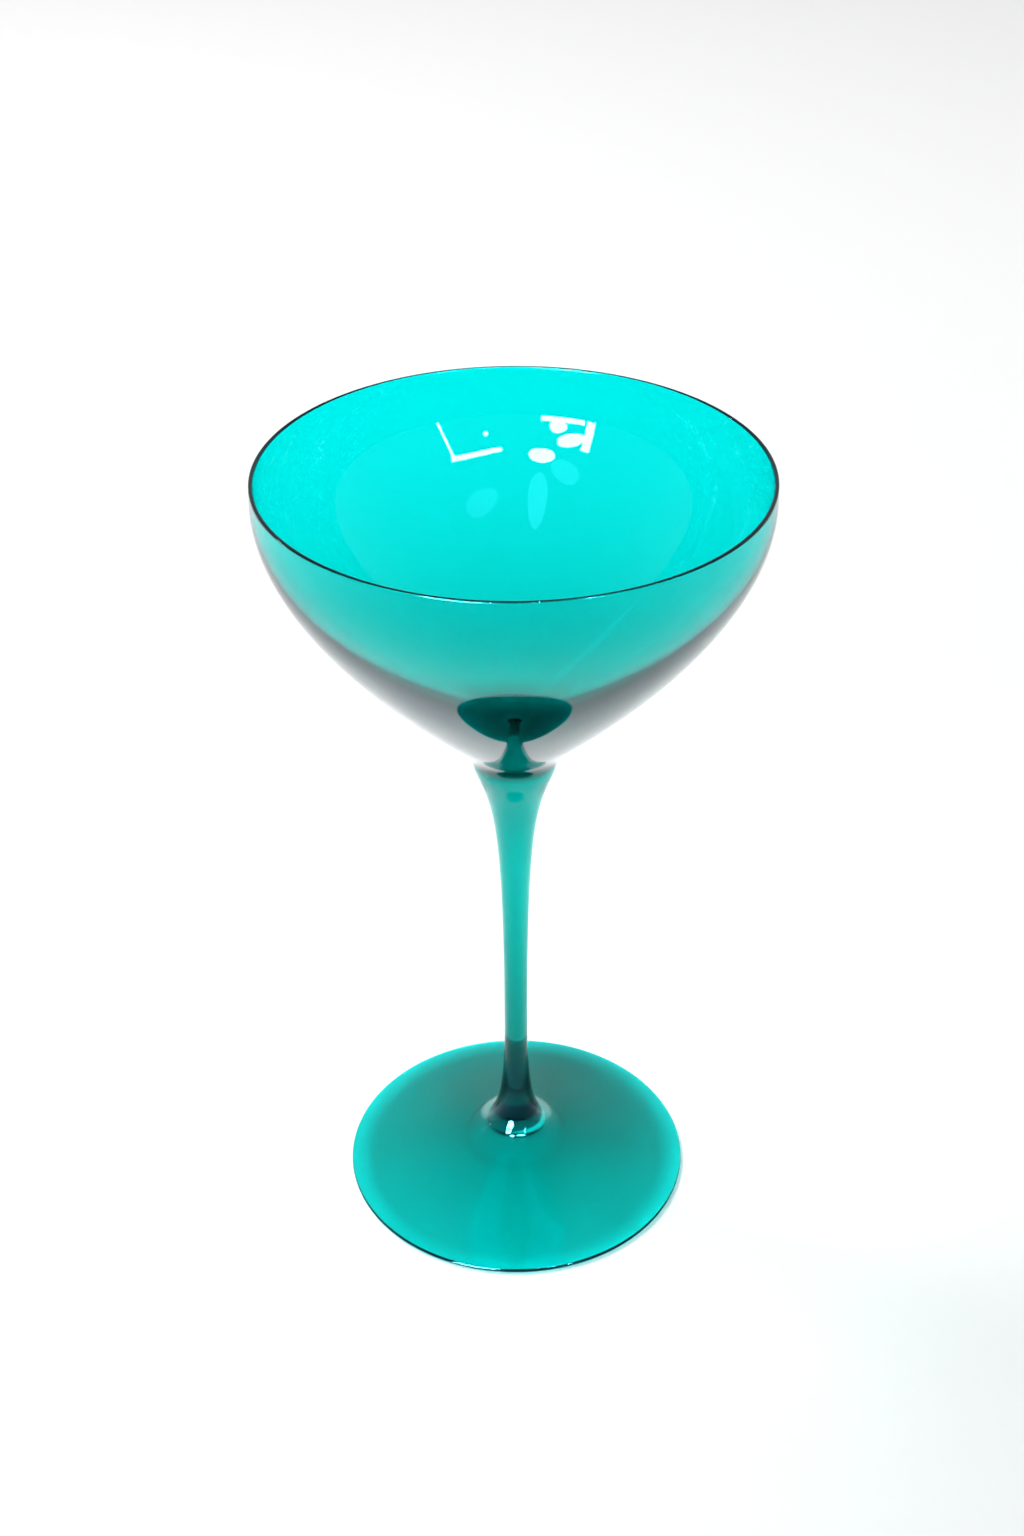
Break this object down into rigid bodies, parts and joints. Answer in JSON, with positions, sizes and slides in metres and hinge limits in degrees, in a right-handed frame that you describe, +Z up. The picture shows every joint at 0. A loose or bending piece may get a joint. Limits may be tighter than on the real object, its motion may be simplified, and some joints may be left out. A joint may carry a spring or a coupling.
{
  "type": "martini glass",
  "caption": "Stemmed cocktail glass in teal blown glass: thin rounded cone bowl on a solid base, slender tapering stem, low conical foot.",
  "frame": {"origin": "centre of the ring under the foot, on the surface that the glass stands on", "axes": "+Z up along the glass's axis, towards the mouth; X and Y are any two level directions"},
  "size_m": [0.1088, 0.1088, 0.19],
  "materials": {
    "bowl_glass": "fire-polished transparent teal glass, thin wall",
    "stem_glass": "fire-polished transparent teal glass, solid",
    "foot_glass": "fire-polished transparent teal glass, spun disc"
  },
  "bodies": {
    "root": {"bowl": "bowl_glass", "stem": "stem_glass", "foot": "foot_glass"}
  },
  "joints": []
}
